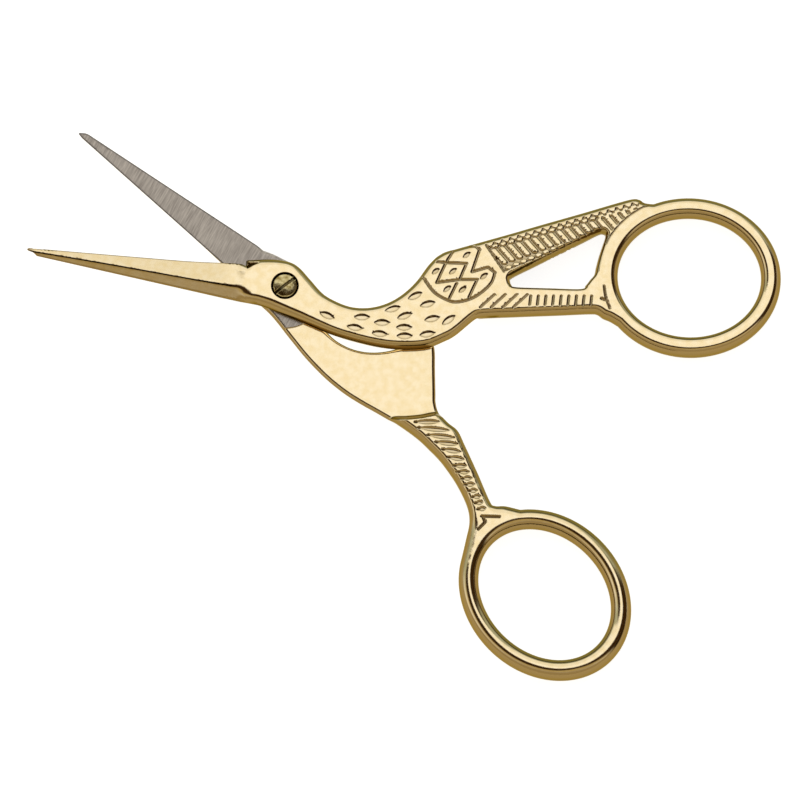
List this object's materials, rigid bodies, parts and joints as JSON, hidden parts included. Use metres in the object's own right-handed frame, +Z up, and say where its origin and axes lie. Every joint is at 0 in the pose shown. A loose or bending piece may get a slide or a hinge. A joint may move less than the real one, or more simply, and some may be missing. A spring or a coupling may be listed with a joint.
{
  "type": "embroidery scissors",
  "caption": "Stork-shaped embroidery scissors: two gilt forged halves with steel blades turning on a slotted brass pivot screw.",
  "frame": {"origin": "pivot axis, on the plane of the table that the scissors lie on", "axes": "+X runs from the blade tips to the finger bows along the front half, +Z runs up out of the table along the pivot axis, and +Y completes a right-handed frame"},
  "size_m": [0.1156, 0.0861, 0.0047],
  "materials": {
    "gilt_steel": "polished",
    "aged_brass": "polished"
  },
  "bodies": {
    "lower_blade": {"back_half": "gilt_steel", "pivot_screw": "aged_brass"},
    "upper_blade": {"front_half": "gilt_steel"}
  },
  "joints": [
    {"name": "blade_pivot", "type": "hinge", "parent": "lower_blade", "child": "upper_blade", "pos_m": [0, 0, 0], "axis": [0, 0, 1], "range_deg": [-28.9, 60]}
  ]
}
